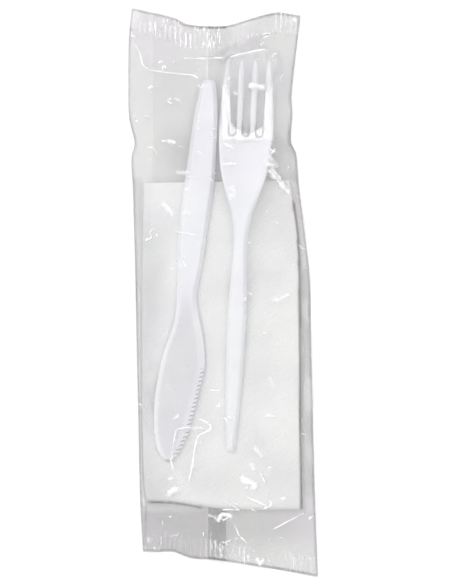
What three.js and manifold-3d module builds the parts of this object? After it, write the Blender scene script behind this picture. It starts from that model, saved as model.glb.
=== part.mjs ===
// Sealed pack of disposable cutlery: a plastic knife and fork on a folded paper
// napkin, inside a tube of clear film. The tube has a fin seal folded flat along
// its back and a crimped seal across each end. Millimetres. The pack lies on its
// back with +Z up through the front film and +Y towards the seal by the fork's
// tines. The origin is under the middle of the pack, where it meets the table.

import * as THREE from 'three';
import { mergeVertices } from 'three/addons/utils/BufferGeometryUtils.js';
import Module from 'manifold-3d';

const wasm = await Module();
wasm.setup();

// Film
const FILM_T = 0.12; // thickness of one ply
const FILM_GAP = 0.1; // air between plies that lie on each other
const FOLD_R = 0.15; // radius of the folds along the tube's sides
const FIN_BASE_X = 1.3; // where the fin seal turns back under the tube
const FIN_FREE_X = -6.9; // free edge of the fin seal
const SEAL_DEPTH = 9.5; // height of each crimped end seal
const SEAL_T = 0.55; // thickness of the pressed plies
const RIB_H = 0.2; // crimp rib height
const RIB_PITCH = 2.1;
const CLEARANCE = 0.45; // film to contents

// Napkin: a 300 mm square folded in half three times
const NAPKIN_LENGTH = 149.5;
const NAPKIN_Z = 0.85;
const NAPKIN_LAYER = 0.6; // one fold of the doubled sheet
const NAPKIN_LAYER_GAP = 0.13;
const NAPKIN_FOLDS = 4;
const NAPKIN_H = NAPKIN_FOLDS * NAPKIN_LAYER + (NAPKIN_FOLDS - 1) * NAPKIN_LAYER_GAP;

// Cutlery
const CUTLERY_Z = NAPKIN_Z + NAPKIN_H + 0.3;
const KNIFE_LENGTH = 175.4;
const KNIFE_HANDLE_T = 3.0;
const KNIFE_TOOTH_PITCH = 2.0;
const KNIFE_TOOTH_DEPTH = 0.6;
const KNIFE_END = new THREE.Vector2(-6.4, 97.2);
const KNIFE_LEAN = THREE.MathUtils.degToRad(6.15);
const FORK_LENGTH = 179;
const FORK_T = 2.1;
const FORK_END = new THREE.Vector2(3.35, -73);
const FORK_LEAN = THREE.MathUtils.degToRad(2.72);
const FORK_SLOT_PITCH = 6.05;
const FORK_SLOT_W = 3.5;
const FORK_SLOT_START = 143.4;

const lerp = THREE.MathUtils.lerp;
const smooth = (x, a, b) => THREE.MathUtils.smoothstep(x, a, b);

// A smooth curve through a few points, as a function of their first number.
function through(points) {
  const n = points.length;
  const slope = points.map((p, i) => {
    const a = points[Math.max(i - 1, 0)];
    const b = points[Math.min(i + 1, n - 1)];
    return (b[1] - a[1]) / (b[0] - a[0]);
  });
  return (x) => {
    if (x <= points[0][0]) return points[0][1];
    if (x >= points[n - 1][0]) return points[n - 1][1];
    let i = 0;
    while (points[i + 1][0] < x) i++;
    const w = points[i + 1][0] - points[i][0];
    const t = (x - points[i][0]) / w;
    const t2 = t * t;
    const t3 = t2 * t;
    return (2 * t3 - 3 * t2 + 1) * points[i][1] + (t3 - 2 * t2 + t) * w * slope[i]
      + (3 * t2 - 2 * t3) * points[i + 1][1] + (t3 - t2) * w * slope[i + 1];
  };
}

// A closed body through equal rings of points. fill lists the triangles that
// close an end ring, by the numbers of its points.
function loft(rings, fill) {
  const n = rings[0].length;
  const positions = rings.flat().flatMap((p) => [p.x, p.y, p.z]);
  const faces = [];
  for (let r = 0; r + 1 < rings.length; r++) {
    for (let i = 0; i < n; i++) {
      const a = r * n + i;
      const b = r * n + (i + 1) % n;
      faces.push(a, b, b + n, a, b + n, a + n);
    }
  }
  const follows = (a, b) => b === (a + 1) % n;
  const forward = fill.some(([a, b, c]) => follows(a, b) || follows(b, c) || follows(c, a));
  const last = (rings.length - 1) * n;
  for (const [a, b, c] of fill) {
    if (forward) faces.push(a, c, b, last + a, last + b, last + c);
    else faces.push(a, b, c, last + a, last + c, last + b);
  }
  const geometry = new THREE.BufferGeometry();
  geometry.setAttribute('position', new THREE.Float32BufferAttribute(positions, 3));
  geometry.setIndex(faces);
  return facingOut(geometry);
}

// End triangles of a ring that goes out along one side and back along the other,
// with as many points on each.
function pairedFill(n) {
  const faces = [];
  for (let k = 0; k + 1 < n / 2; k++) {
    faces.push([k, k + 1, n - 2 - k], [k, n - 2 - k, n - 1 - k]);
  }
  return faces;
}

function facingOut(geometry) {
  const p = geometry.attributes.position;
  const index = geometry.index.array;
  const [a, b, c] = [new THREE.Vector3(), new THREE.Vector3(), new THREE.Vector3()];
  let volume = 0;
  for (let i = 0; i < index.length; i += 3) {
    a.fromBufferAttribute(p, index[i]);
    b.fromBufferAttribute(p, index[i + 1]);
    c.fromBufferAttribute(p, index[i + 2]);
    volume += a.dot(b.cross(c));
  }
  if (volume < 0) {
    for (let i = 0; i < index.length; i += 3) {
      [index[i], index[i + 1]] = [index[i + 1], index[i]];
    }
  }
  return geometry;
}

function toManifold(geometry) {
  geometry.deleteAttribute('normal');
  geometry.deleteAttribute('uv');
  const merged = mergeVertices(geometry, 1e-5);
  return new wasm.Manifold(new wasm.Mesh({
    numProp: 3,
    vertProperties: new Float32Array(merged.attributes.position.array),
    triVerts: new Uint32Array(merged.index.array),
  }));
}

function fromManifold(solid) {
  const mesh = solid.getMesh();
  const geometry = new THREE.BufferGeometry();
  geometry.setAttribute('position', new THREE.BufferAttribute(mesh.vertProperties, 3));
  geometry.setIndex(new THREE.BufferAttribute(mesh.triVerts, 1));
  return geometry;
}

// ---------------------------------------------------------------- knife
// Its own frame: +Y from the handle's end to the tip, teeth on the -X side.

const knifeSpine = through([
  [0, 1.8], [1.4, 3.0], [6, 3.8], [19, 5.1], [40, 5.8], [62, 6.5], [78, 6.2],
  [93, 4.9], [106, 3.8], [114, 4.5], [127, 7.5], [138, 8.7], [147, 9.1],
  [159, 8.2], [168, 6.3], [173, 3.6], [KNIFE_LENGTH, 0.4],
]);
const knifeBelly = through([
  [0, 1.9], [1.4, 3.1], [13, 5.2], [34, 6.9], [46, 7.4], [66, 6.7], [84, 6.0],
  [99, 4.9], [107, 6.6], [118, 9.9], [128, 11.8], [131.6, 11.8], [140, 11.0],
  [151, 9.4], [161, 7.8], [169, 5.1], [KNIFE_LENGTH - 1.5, 2.5], [KNIFE_LENGTH, 0.6],
]);

// Height of the knife's upper side at each corner of its section, from the
// spine round to the toothed edge, first on the handle and then on the blade.
const KNIFE_CORNERS = [
  { side: 1, inset: [0, 0], z: [0.9, 1.3] },
  { side: 1, inset: [1.8, 0.5], z: [KNIFE_HANDLE_T, 1.8] },
  { side: 1, inset: [1.9, 2.2], z: [KNIFE_HANDLE_T, 1.3] },
  { side: -1, inset: [1.9, 3.0], z: [KNIFE_HANDLE_T, 1.15] },
  { side: -1, inset: [0, 0], z: [0.9, 0.5] },
];

function knifeSection(y) {
  const blade = smooth(y, 96, 108);
  const tooth = y > 131 && y < 172 ? KNIFE_TOOTH_DEPTH * (Math.round(y / (KNIFE_TOOTH_PITCH / 2)) % 2) : 0;
  const spine = knifeSpine(y);
  const belly = knifeBelly(y) - tooth;
  const ends = Math.min(1, 0.45 + 0.25 * y, 0.6 + 0.4 * (KNIFE_LENGTH - y));
  const width = spine + belly;
  return KNIFE_CORNERS.map(({ side, inset, z }) => {
    const lip = Math.min(lerp(inset[0], inset[1], blade), 0.35 * width);
    return new THREE.Vector2(side > 0 ? spine - lip : lip - belly, lerp(z[0], z[1], blade) * ends);
  });
}

function knifeGeometry() {
  const stations = [0, 0.7, 1.4, 3, 6];
  for (let y = 13; y < 92; y += 11) stations.push(y);
  for (let y = 95; y < 131; y += 4.4) stations.push(y);
  for (let y = 131; y < 172.5; y += KNIFE_TOOTH_PITCH / 2) stations.push(y);
  stations.push(173, 174.2, 175, KNIFE_LENGTH);
  const rings = stations.map((y) => {
    const top = knifeSection(y);
    const under = top.map((p, k) => new THREE.Vector2(p.x - 0.15 * [1, 0, 0, 0, -1][k], 0)).reverse();
    return [...top, ...under].map((p) => new THREE.Vector3(p.x, y, p.y));
  });
  return loft(rings, pairedFill(rings[0].length));
}

// ---------------------------------------------------------------- fork
// Its own frame: +Y from the handle's end to the tines, face up.

const forkHalfWidth = through([
  [0, 1.2], [0.8, 1.9], [3, 2.25], [10, 2.6], [24, 3.5], [38, 3.95], [54, 4.3],
  [70, 4.1], [84, 3.4], [96, 3.0], [102, 3.5], [110, 5.1], [119, 8.0], [126, 10.1],
  [134, 11.4], [146, 12.3], [156, 12.2], [165, 11.6], [174, 10.7], [FORK_LENGTH - 1, 9.9],
  [FORK_LENGTH, 9.5],
]);
const forkRise = through([
  [0, 0], [30, 0.3], [60, 1.4], [90, 3.2], [110, 4.1], [119, 3.8], [130, 2.1],
  [142, -0.8], [151, -2.4], [157, -2.7], [165, -1.7], [172, 0], [FORK_LENGTH, 2.2],
]);

// The section's corners as shares of the half width, then the inset of the
// handle's flat land, and how far the bowl's sides curl up.
const FORK_CORNERS = [1, 0.8, 0.4, 0, -0.4, -0.8, -1];

function forkSection(y) {
  const bowl = smooth(y, 104, 132);
  const half = forkHalfWidth(y);
  const end = Math.min(1, 0.5 + 0.3 * y);
  const thin = lerp(1, 0.7, smooth(y, 150, FORK_LENGTH));
  return FORK_CORNERS.map((share) => {
    const lip = Math.min(1.7, 0.45 * half);
    const edge = Math.abs(share) === 1;
    const land = edge ? half : (half - lip) * Math.abs(share) / 0.8;
    const x = Math.sign(share) * lerp(land, half * Math.abs(share), bowl);
    const curl = 1.5 * bowl * (x / half) ** 2;
    const handle = (edge ? 0.8 : FORK_T) * end;
    const top = forkRise(y) + curl + lerp(handle, (edge ? 1.2 : 1.7) * thin, bowl);
    return { x, top, under: forkRise(y) + curl };
  });
}

function forkGeometry() {
  const stations = [0, 0.8, 3, 10, 24, 38, 54, 70, 84];
  for (let y = 92; y < FORK_LENGTH - 3; y += 5.2) stations.push(y);
  stations.push(FORK_LENGTH - 1.4, FORK_LENGTH);
  const rings = stations.map((y) => {
    const corners = forkSection(y);
    const over = corners.map((c) => new THREE.Vector3(c.x, y, c.top));
    const under = corners.map((c) => new THREE.Vector3(c.x, y, c.under)).reverse();
    return [...over, ...under];
  });
  let solid = toManifold(loft(rings, pairedFill(rings[0].length)));
  const slot = new THREE.Shape();
  const r = FORK_SLOT_W / 2;
  const tip = FORK_LENGTH + 2;
  slot.absarc(0, FORK_SLOT_START + r, r, Math.PI, 2 * Math.PI, false);
  slot.lineTo(r, FORK_LENGTH - 5);
  slot.lineTo(r + 1.2, tip);
  slot.lineTo(-r - 1.2, tip);
  slot.lineTo(-r, FORK_LENGTH - 5);
  slot.closePath();
  for (const k of [-1, 0, 1]) {
    const cutter = new THREE.ExtrudeGeometry(slot, { depth: 30, bevelEnabled: false, curveSegments: 6 });
    cutter.translate(k * FORK_SLOT_PITCH, 0, -15);
    solid = solid.subtract(toManifold(cutter));
  }
  return fromManifold(solid);
}

// ---------------------------------------------------------------- napkin
// The doubled sheet is folded over on itself twice more, so its section is one
// strip that turns back three times, with its two cut edges together on the right.

const napkinLeft = through([[-96, -35.3], [-85, -36.4], [-50, -37.2], [10, -37.2], [51, -36.3]]);
const napkinRight = through([
  [-100, 35.9], [-67, 35.3], [-12, 35.1], [17, 34.6], [32, 33.4], [44, 31.4], [51, 30.0],
]);
const napkinFoot = (u) => lerp(-95.8, -99.3, smooth(u, 0.1, 0.6));

function napkinGeometry() {
  const t = NAPKIN_LAYER;
  const pitch = t + NAPKIN_LAYER_GAP;
  const outer = 1.5 * pitch;
  const inner = 0.5 * pitch;
  const mid = 1.5 * pitch + t / 2;
  const line = [];
  const arc = (cx, cz, r, from, to, steps) => {
    for (let k = 0; k <= steps; k++) {
      const a = THREE.MathUtils.degToRad(lerp(from, to, k / steps));
      line.push(new THREE.Vector2(cx + r * Math.cos(a), cz + r * Math.sin(a)));
    }
  };
  // x is from the left fold, with the right-hand edge stretched to fit later
  const RIGHT = 70;
  line.push(new THREE.Vector2(RIGHT, mid - outer));
  arc(outer + t / 2, mid, outer, 270, 90, 8);
  arc(RIGHT - inner - t, mid + pitch, inner, 90, -90, 5);
  arc(outer + t / 2, mid, inner, 90, 270, 5);
  line.push(new THREE.Vector2(RIGHT - 0.4, mid - inner));
  const outline = thicken(line, t / 2);
  const steps = 14;
  const rings = [];
  for (let k = 0; k <= steps; k++) {
    rings.push(outline.map((p) => {
      const u = p.x / RIGHT;
      const y = lerp(napkinFoot(u), napkinFoot(u) + NAPKIN_LENGTH, k / steps);
      const x = napkinLeft(y) + (napkinRight(y) - napkinLeft(y)) * u;
      return new THREE.Vector3(x, y, NAPKIN_Z + p.y);
    }));
  }
  return loft(rings, pairedFill(outline.length));
}

// Both sides of a line, as one closed outline.
function thicken(line, r) {
  const left = [];
  const right = [];
  line.forEach((p, i) => {
    const a = line[Math.max(i - 1, 0)];
    const b = line[Math.min(i + 1, line.length - 1)];
    const before = p.clone().sub(a).normalize();
    const after = b.clone().sub(p).normalize();
    const along = before.clone().add(after).normalize();
    const bend = Math.max(0.5, i > 0 && i < line.length - 1 ? along.dot(after) : 1);
    const n = new THREE.Vector2(-along.y, along.x).multiplyScalar(r / bend);
    left.push(p.clone().add(n));
    right.push(p.clone().sub(n));
  });
  return [...left, ...right.reverse()];
}

// ---------------------------------------------------------------- film

const filmLeft = through([
  [-119, -36.7], [-95, -38.0], [-56, -38.9], [-12, -39.9], [17, -40.5], [47, -41.4],
  [62, -42.0], [68.4, -40.6], [79.5, -43.0], [92, -43.4], [105, -43.4], [118, -43.1],
  [130, -41.7],
]);
const filmRight = through([
  [-130, 43.4], [-98, 42.2], [-62, 41.2], [-22, 40.3], [6, 39.7], [29, 37.1], [51, 34.5],
  [64, 33.4], [69, 31.2], [82, 31.7], [90, 31.3], [111, 33.5], [127, 35.4],
]);
const topEdge = through([
  [0, 130], [0.26, 125.8], [0.32, 123.2], [0.5, 121.9], [0.58, 122.2], [0.81, 127.7],
  [0.88, 128.4], [1, 126.9],
]);
const bottomEdge = through([
  [0, -118.6], [0.1, -118.8], [0.16, -118.4], [0.28, -121.8], [0.42, -122.4], [1, -130],
]);

// A point of the lying film: u runs across from side to side, v from the
// bottom seal's inner line to the top seal's.
function filmPlace(u, v) {
  const overlap = 2.5;
  const low = bottomEdge(u) + SEAL_DEPTH - overlap;
  const high = topEdge(u) - SEAL_DEPTH + overlap;
  const y = lerp(low, high, v);
  return new THREE.Vector2(lerp(filmLeft(y), filmRight(y), u), y);
}

function inFrame(x, y, end, lean) {
  const dx = x - end.x;
  const dy = y - end.y;
  return [dx * Math.cos(lean) + dy * Math.sin(lean), -dx * Math.sin(lean) + dy * Math.cos(lean)];
}

// How high the contents reach over a point of the table.
function contentsTop(x, y) {
  let top = FILM_T + FILM_GAP;
  if (x > FIN_FREE_X - 2 && x < FIN_BASE_X + 1.5) top = 0.32;
  const u = THREE.MathUtils.clamp((x + 37) / 72, 0, 1);
  const foot = napkinFoot(u);
  if (y > foot && y < foot + NAPKIN_LENGTH && x > napkinLeft(y) && x < napkinRight(y)) {
    top = NAPKIN_Z + NAPKIN_H;
  }
  const [kx, ky] = inFrame(x, y, KNIFE_END, Math.PI - KNIFE_LEAN);
  if (ky > -0.5 && ky < KNIFE_LENGTH + 0.5 && kx > -knifeBelly(ky) - 0.2 && kx < knifeSpine(ky) + 0.2) {
    top = Math.max(top, CUTLERY_Z + lerp(KNIFE_HANDLE_T, 1.9, smooth(ky, 99, 110)));
  }
  const [fx, fy] = inFrame(x, y, FORK_END, -FORK_LEAN);
  if (fy > -0.5 && fy < FORK_LENGTH + 0.5 && Math.abs(fx) < forkHalfWidth(fy) + 0.2) {
    const bowl = smooth(fy, 104, 132);
    const curl = 1.5 * bowl * (fx / forkHalfWidth(fy)) ** 2;
    top = Math.max(top, CUTLERY_Z + forkRise(fy) + lerp(FORK_T, 1.7, bowl) + curl);
  }
  return top;
}

// The front film: it hangs from the sides and the seals and is held up by what
// lies under it, like a stretched skin.
const SIDE_STEPS = [0.45, 1.0, 1.6, 2.5, 4.2];
const MIDDLE_STEPS = 18;
const V_STEPS = 30;
const SEAL_LINE_Z = 0.36;

function filmAcross(width) {
  const from = SIDE_STEPS.map((d) => d / width);
  const a = from[from.length - 1];
  const middle = Array.from({ length: MIDDLE_STEPS - 1 }, (_, i) => lerp(a, 1 - a, (i + 1) / MIDDLE_STEPS));
  return [...from, ...middle, ...from.map((f) => 1 - f).reverse()];
}

function frontFilm() {
  const across = filmAcross(80);
  const along = Array.from({ length: V_STEPS + 1 }, (_, j) => {
    const t = j / V_STEPS;
    return lerp(t, 0.5 - 0.5 * Math.cos(Math.PI * t), 0.55);
  });
  const finLift = (x) => 0.36 * smooth(x, FIN_FREE_X - 2.5, FIN_FREE_X - 0.5) * (1 - smooth(x, FIN_BASE_X + 0.5, FIN_BASE_X + 2.5));
  const at = along.map((v) => across.map((u) => filmPlace(u, v)));
  const last = along.length - 1;
  const width = across.length;
  const least = along.map((v, j) => across.map((u, i) => {
    let top = 0;
    for (let a = -2; a <= 2; a++) {
      for (let b = -2; b <= 2; b++) {
        const near = (list, k, s) => lerp(list[k], list[THREE.MathUtils.clamp(k + Math.sign(s), 0, list.length - 1)], Math.abs(s) / 2);
        const p = filmPlace(near(across, i, a), near(along, j, b));
        top = Math.max(top, contentsTop(p.x, p.y));
      }
    }
    return top + CLEARANCE - 0.3 * (top < 0.4) + FILM_T / 2;
  }));
  const z = least.map((row, j) => row.map((h, i) => {
    if (j === 0 || j === last) return SEAL_LINE_Z + finLift(at[j][i].x);
    return h;
  }));
  const gap = (p, q) => p.distanceTo(q);
  for (let round = 0; round < 260; round++) {
    for (let j = 1; j < last; j++) {
      for (let i = 0; i < width; i++) {
        const p = at[j][i];
        const edge = i === 0 || i === width - 1;
        const left = i === 0 ? SEAL_LINE_Z : z[j][i - 1];
        const right = i === width - 1 ? SEAL_LINE_Z : z[j][i + 1];
        const dl = i === 0 ? SIDE_STEPS[0] : gap(p, at[j][i - 1]);
        const dr = i === width - 1 ? SIDE_STEPS[0] : gap(p, at[j][i + 1]);
        const dd = gap(p, at[j - 1][i]);
        const du = gap(p, at[j + 1][i]);
        const weights = [1 / dl, 1 / dr, edge ? 0 : 0.5 / dd, edge ? 0 : 0.5 / du];
        const sum = weights.reduce((s, w) => s + w);
        const mean = (weights[0] * left + weights[1] * right + weights[2] * z[j - 1][i] + weights[3] * z[j + 1][i]) / sum;
        z[j][i] = Math.max(mean, least[j][i]);
      }
    }
  }
  return { at, z, along };
}

// The tube is one strip of film. It starts as the fin's lower ply, runs out to
// the right under the contents, back over them, in again from the left, and
// turns under itself as the fin's upper ply. The two plies of the fin stand a
// hair apart, so the tube's inside is open to the air.
function tubeGeometry() {
  const { at, z, along } = frontFilm();
  const flat = FILM_T / 2;
  const step = FILM_T + FILM_GAP;
  const turn = step / 2;
  const rings = along.map((v, j) => {
    const line = [];
    const lie = (u) => filmPlace(u, v);
    const uOf = (x) => {
      const p = lie(0.5);
      return (x - filmLeft(p.y)) / (filmRight(p.y) - filmLeft(p.y));
    };
    const put = (x, height, y) => line.push(new THREE.Vector3(x, y ?? lie(uOf(x)).y, height));
    put(FIN_FREE_X, flat);
    put(FIN_BASE_X, flat);
    for (const x of [6, 11, 16, 21, 26, 30]) put(x, flat);
    const right = lie(1);
    for (const a of [-90, -30, 30, 90]) {
      const t = THREE.MathUtils.degToRad(a);
      put(right.x - FOLD_R + FOLD_R * Math.cos(t), flat + FOLD_R + FOLD_R * Math.sin(t), right.y);
    }
    for (let i = z[j].length - 1; i >= 0; i--) put(at[j][i].x, z[j][i], at[j][i].y);
    const left = lie(0);
    for (const a of [90, 30, -30, -90]) {
      const t = THREE.MathUtils.degToRad(a);
      put(left.x + FOLD_R - FOLD_R * Math.cos(t), flat + FOLD_R + FOLD_R * Math.sin(t), left.y);
    }
    for (const x of [-35, -29, -23, -17, -12, FIN_FREE_X - 1.4]) put(x, flat);
    put(FIN_FREE_X - 0.4, flat + 2 * step);
    for (const a of [90, 0, -90]) {
      const t = THREE.MathUtils.degToRad(a);
      put(FIN_BASE_X - turn + turn * Math.cos(t), flat + 1.5 * step + turn * Math.sin(t));
    }
    put(FIN_FREE_X, flat + step);
    const outline = thicken(line.map((p) => new THREE.Vector2(p.x, p.z)), FILM_T / 2);
    return outline.map((p, k) => {
      const from = k < line.length ? line[k] : line[2 * line.length - 1 - k];
      return new THREE.Vector3(p.x, from.y, p.y);
    });
  });
  return loft(rings, pairedFill(rings[0].length));
}

// A crimped end seal: all the plies pressed into one strip with upright ribs.
function sealGeometry(edge, inward) {
  const count = 2 * Math.round(84 / RIB_PITCH);
  const rings = [];
  for (let k = 0; k <= count; k++) {
    const u = k / count;
    const outerY = edge(u);
    const innerY = outerY + inward * SEAL_DEPTH;
    const spot = (y) => lerp(filmLeft(y), filmRight(y), u);
    const x = spot(innerY);
    const overFin = smooth(x, FIN_FREE_X - 2.5, FIN_FREE_X - 0.5) * (1 - smooth(x, FIN_BASE_X + 0.5, FIN_BASE_X + 2.5));
    const h = SEAL_T + 0.36 * overFin + RIB_H * (k % 2);
    rings.push([
      new THREE.Vector3(spot(outerY), outerY, 0),
      new THREE.Vector3(x, innerY, 0),
      new THREE.Vector3(x, innerY, h),
      new THREE.Vector3(spot(outerY), outerY, h),
    ]);
  }
  return loft(rings, [[0, 1, 2], [0, 2, 3]]);
}

function wrapperGeometry() {
  return fromManifold(toManifold(tubeGeometry())
    .add(toManifold(sealGeometry(topEdge, -1)))
    .add(toManifold(sealGeometry(bottomEdge, 1))));
}

// ---------------------------------------------------------------- the pack

const film = new THREE.MeshStandardMaterial({
  color: 0xeef0f0, roughness: 0.12, metalness: 0, transparent: true, opacity: 0.25,
});
const tissue = new THREE.MeshStandardMaterial({ color: 0xf4f3ef, roughness: 0.95, metalness: 0 });
const styrene = new THREE.MeshStandardMaterial({ color: 0xf3f3f6, roughness: 0.22, metalness: 0 });

const pack = new THREE.Group();
pack.name = 'cutlery_pack';

const wrapper = new THREE.Mesh(wrapperGeometry(), film);
wrapper.name = 'film_wrapper';

const napkin = new THREE.Mesh(napkinGeometry(), tissue);
napkin.name = 'napkin';

const knife = new THREE.Mesh(knifeGeometry(), styrene);
knife.name = 'knife';
knife.position.set(KNIFE_END.x, KNIFE_END.y, CUTLERY_Z);
knife.rotation.z = Math.PI - KNIFE_LEAN;

const fork = new THREE.Mesh(forkGeometry(), styrene);
fork.name = 'fork';
fork.position.set(FORK_END.x, FORK_END.y, CUTLERY_Z);
fork.rotation.z = -FORK_LEAN;

pack.add(wrapper, napkin, knife, fork);

export default pack;
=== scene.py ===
# Looks of a sealed cutlery pack: a knife and a fork on a folded tissue napkin, in a
# tube of clear film. Shapes are in millimetres until a mesh is made, and materials and
# the stage are in metres. +Z is up through the front film and +Y runs towards the seal
# by the fork's tines.
import math
import bpy
import numpy as np
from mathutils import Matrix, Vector


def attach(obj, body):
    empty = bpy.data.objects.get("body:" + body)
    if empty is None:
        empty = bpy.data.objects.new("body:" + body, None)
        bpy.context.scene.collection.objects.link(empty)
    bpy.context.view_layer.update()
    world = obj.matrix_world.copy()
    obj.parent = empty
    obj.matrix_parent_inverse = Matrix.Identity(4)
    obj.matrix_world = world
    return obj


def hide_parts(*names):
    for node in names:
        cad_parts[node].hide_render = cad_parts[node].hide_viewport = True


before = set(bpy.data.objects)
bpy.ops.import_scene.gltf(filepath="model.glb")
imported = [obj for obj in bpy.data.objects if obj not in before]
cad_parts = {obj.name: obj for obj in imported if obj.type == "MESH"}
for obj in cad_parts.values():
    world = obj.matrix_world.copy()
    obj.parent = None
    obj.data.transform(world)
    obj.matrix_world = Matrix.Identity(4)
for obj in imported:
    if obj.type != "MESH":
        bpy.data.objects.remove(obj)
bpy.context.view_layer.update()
MM = 0.001


# ------------------------------------------------------------------ helpers
def through(points):
    """A smooth curve through a few points, as a function of their first number."""
    xs = np.array([p[0] for p in points], float)
    ys = np.array([p[1] for p in points], float)
    n = len(xs)
    low = np.maximum(np.arange(n) - 1, 0)
    high = np.minimum(np.arange(n) + 1, n - 1)
    slope = (ys[high] - ys[low]) / (xs[high] - xs[low])

    def at(x):
        x = np.clip(np.asarray(x, float), xs[0], xs[-1])
        i = np.clip(np.searchsorted(xs, x, side="right") - 1, 0, n - 2)
        w = xs[i + 1] - xs[i]
        t = (x - xs[i]) / w
        t2, t3 = t * t, t * t * t
        return (
            (2 * t3 - 3 * t2 + 1) * ys[i]
            + (t3 - 2 * t2 + t) * w * slope[i]
            + (3 * t2 - 2 * t3) * ys[i + 1]
            + (t3 - t2) * w * slope[i + 1]
        )

    return at


def lerp(a, b, t):
    return a + (b - a) * t


def smooth(x, a, b):
    """0 at a and 1 at b, with a soft start and end."""
    t = np.clip((np.asarray(x, float) - a) / (b - a), 0, 1)
    return t * t * (3 - 2 * t)


def ripple(x, y, wavelength, seed, waves=9):
    """Gentle unevenness, about -1 to 1, with features of about one wavelength."""
    rng = np.random.default_rng(seed)
    total = np.zeros(np.broadcast(x, y).shape)
    for _ in range(waves):
        angle = rng.uniform(0, math.tau)
        k = math.tau / (wavelength * rng.uniform(0.7, 1.6))
        total += np.sin(k * (x * math.cos(angle) + y * math.sin(angle)) + rng.uniform(0, math.tau))
    return total / math.sqrt(waves)


def ring_faces(stations, ring):
    """Quads of a closed ring swept through stations, with its two ends filled by
    joining the ring's two halves point by point."""
    s = np.arange(stations - 1)[:, None] * ring
    i = np.arange(ring)[None, :]
    j = (i + 1) % ring
    side = np.stack([s + i, s + j, s + ring + j, s + ring + i], -1).reshape(-1, 4)
    k = np.arange(ring // 2 - 1)
    cap = np.stack([k, ring - 1 - k, ring - 2 - k, k + 1], -1)
    far = cap[:, ::-1] + (stations - 1) * ring
    return np.concatenate([side, cap, far])


def make_mesh(name, points, faces):
    """A mesh object from points in millimetres, with its faces turned outwards."""
    p = np.asarray(points, float).reshape(-1, 3) * MM
    f = np.asarray(faces)
    a, b, c, d = (p[f[:, k]] for k in range(4))
    volume = np.einsum("ij,ij->i", a, np.cross(b, c) + np.cross(c, d)).sum()
    if volume < 0:
        f = f[:, ::-1]
    mesh = bpy.data.meshes.new(name)
    mesh.from_pydata(p.tolist(), [], f.tolist())
    mesh.update()
    mesh.shade_smooth()
    obj = bpy.data.objects.new(name, mesh)
    bpy.context.scene.collection.objects.link(obj)
    return obj


def set_attribute(obj, name, values):
    """Gives each point a number, for the materials to read."""
    layer = obj.data.attributes.new(name, "FLOAT", "POINT")
    layer.data.foreach_set("value", np.asarray(values, np.float32).ravel())


def apply_modifiers(obj):
    bpy.context.view_layer.update()
    graph = bpy.context.evaluated_depsgraph_get()
    mesh = bpy.data.meshes.new_from_object(obj.evaluated_get(graph))
    obj.modifiers.clear()
    old = obj.data
    obj.data = mesh
    bpy.data.meshes.remove(old)


# ------------------------------------------------------------------ sizes
# A piece's END is where its own frame starts, and its TURN how far that is turned. The
# knife runs from the top of its handle to its tip, and the fork to its tines. NECK is
# where the knife's handle gives way to its blade, and SAW where its teeth are.
NAPKIN_LENGTH = 149.5
NAPKIN_Z = 0.85
NAPKIN_H = 2.79
CUTLERY_Z = NAPKIN_Z + NAPKIN_H + 0.3
KNIFE_LENGTH = 175.4
KNIFE_T = 3.0
KNIFE_END = (-6.4, 97.2)
KNIFE_TURN = math.pi - math.radians(6.15)
KNIFE_WALL = 0.25
NECK = (96, 108)
SAW = (131.5, 172.4)
TOOTH_PITCH = 2.0
FORK_LENGTH = 179.0
FORK_T = 2.1
FORK_END = (3.35, -73.0)
FORK_TURN = -math.radians(2.72)
FORK_CURL = 1.5
FORK_HEAD = (11.2, 88)
OUTER_TINE = 9.7
SLOT_PITCH = 6.2
SLOT_W = 3.4
SLOT_START = 144.4
FIN_BASE_X = 1.3
FIN_FREE_X = -6.9
FIN_MIDDLE_X = -3.0
SEAL_DEPTH = 9.5
RIB_PITCH = 2.3

# Outlines and profiles, as places and the values there: along a piece for its widths and
# its rise, along the pack for its sides, and across the pack for its cut edges.
knife_spine = through([
    (0, 1.8), (1.4, 3.0), (6, 3.8), (19, 5.1), (40, 5.8), (62, 6.5), (78, 6.2),
    (93, 4.9), (106, 3.8), (114, 4.5), (127, 7.5), (138, 8.7), (147, 9.1),
    (159, 8.2), (168, 6.3), (173, 3.6), (KNIFE_LENGTH, 0.4),
])
knife_belly = through([
    (0, 1.9), (1.4, 3.1), (13, 5.2), (34, 6.9), (46, 7.4), (66, 6.7), (84, 6.0),
    (99, 4.9), (107, 6.6), (118, 9.9), (128, 11.8), (131.6, 11.8), (140, 11.0),
    (151, 9.4), (161, 7.8), (169, 5.1), (KNIFE_LENGTH - 1.5, 2.5), (KNIFE_LENGTH, 0.6),
])
fork_half_width = through([
    (0, 1.2), (0.8, 1.9), (3, 2.25), (10, 2.6), (24, 3.5), (38, 3.95), (54, 4.3),
    (70, 4.1), (84, 3.4), (96, 3.0), (102, 3.5), (110, 5.1), (119, 8.0), (126, 10.1),
    (134, 11.4), (146, 12.3), (156, 12.2), (165, 11.6), (174, 10.7),
    (FORK_LENGTH - 1, 9.9), (FORK_LENGTH, 9.5),
])
fork_rise = through([
    (0, 0), (30, 0.3), (60, 1.4), (90, 3.2), (110, 4.1), (119, 3.8), (130, 2.1),
    (142, -0.8), (151, -2.4), (157, -2.7), (165, -1.7), (172, 0), (FORK_LENGTH, 2.2),
])
napkin_left = through([(-96, -35.3), (-85, -36.4), (-50, -37.2), (10, -37.2), (51, -36.3)])
napkin_right = through([
    (-100, 35.9), (-67, 35.3), (-12, 35.1), (17, 34.6), (32, 33.4), (44, 31.4), (51, 30.0),
])
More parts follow.
